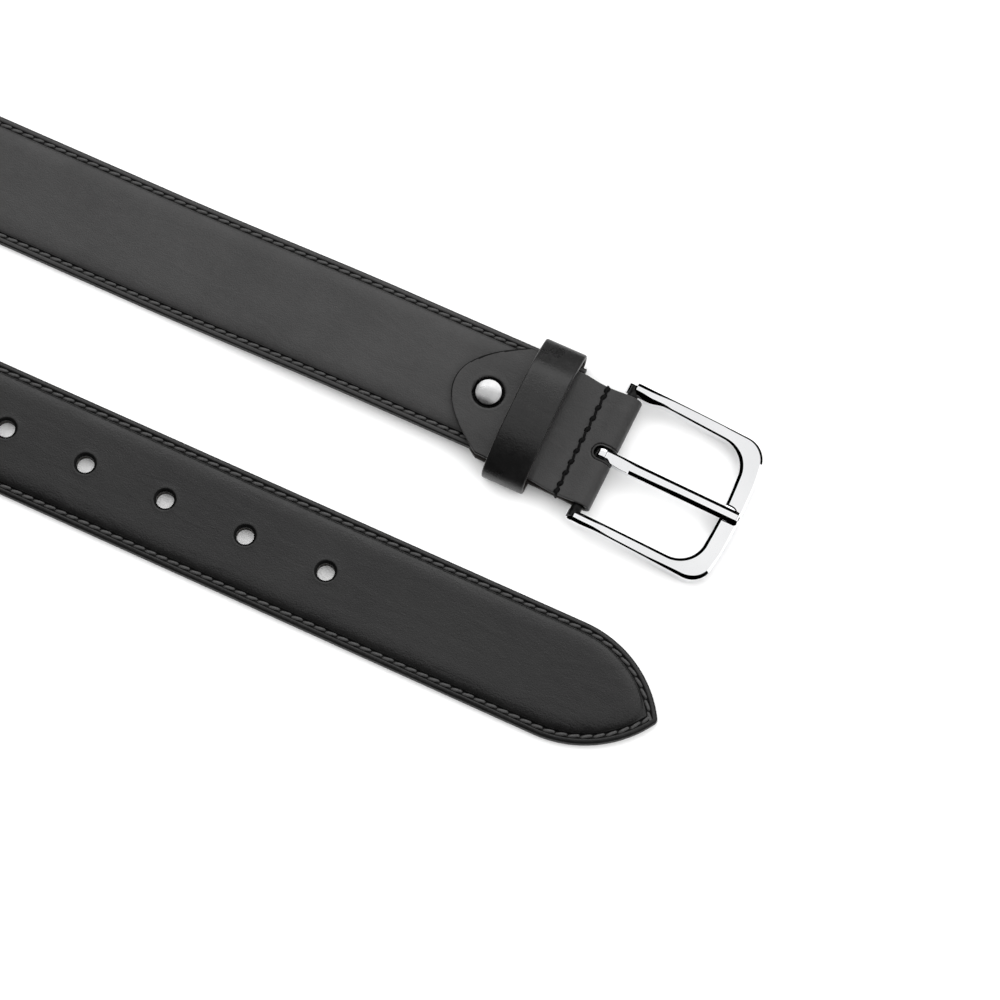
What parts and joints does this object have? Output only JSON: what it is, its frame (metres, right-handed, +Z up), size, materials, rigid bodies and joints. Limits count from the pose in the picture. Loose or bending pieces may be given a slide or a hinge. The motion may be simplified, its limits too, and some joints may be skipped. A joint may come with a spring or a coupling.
{
  "type": "leather belt",
  "caption": "Black leather dress belt with stitched edges, a row of punched holes, a sliding keeper and a hinged single-prong buckle, lying in an open loop.",
  "frame": {"origin": "centre of the middle punched hole, at the surface that the belt lies on", "axes": "+X along both arms towards the buckle and the tip, +Y from the tip arm to the buckle arm, +Z up"},
  "size_m": [0.5151, 0.1318, 0.0351],
  "materials": {
    "strap_leather": "semi-matt smooth grain, black",
    "keeper_leather": "semi-gloss, black",
    "lining_leather": "matt split leather, black",
    "filler_board": "bonded leather board",
    "black_thread": "waxed polyester thread",
    "polished_metal": "mirror polish",
    "satin_metal": "satin",
    "steel_wire": "drawn wire"
  },
  "bodies": {
    "strap": {"strap_front": "strap_leather", "strap_filler": "filler_board", "strap_lining": "lining_leather", "edge_thread_front": "black_thread", "edge_thread_back": "black_thread", "chape": "strap_leather", "chape_thread_front": "black_thread", "chape_thread_back": "black_thread", "rivet_post": "satin_metal", "rivet_screw": "satin_metal"},
    "keeper": {"keeper": "keeper_leather", "keeper_staple": "steel_wire"},
    "buckle": {"buckle_frame": "polished_metal", "buckle_bar": "steel_wire"},
    "prong": {"prong": "polished_metal"}
  },
  "joints": [
    {"name": "keeper_slide", "type": "slide", "parent": "strap", "child": "keeper", "axis": [-1, 0, 0], "range_m": [-0.008, 0.035]},
    {"name": "buckle_hinge", "type": "hinge", "parent": "strap", "child": "buckle", "pos_m": [0.10616, 0.0642, 0.0044], "axis": [-0.0157, -0.9999, 0], "range_deg": [-60, 25]},
    {"name": "prong_hinge", "type": "hinge", "parent": "buckle", "child": "prong", "pos_m": [0.10616, 0.0642, 0.0044], "axis": [-0.0157, -0.9999, 0], "range_deg": [0, 85]}
  ]
}
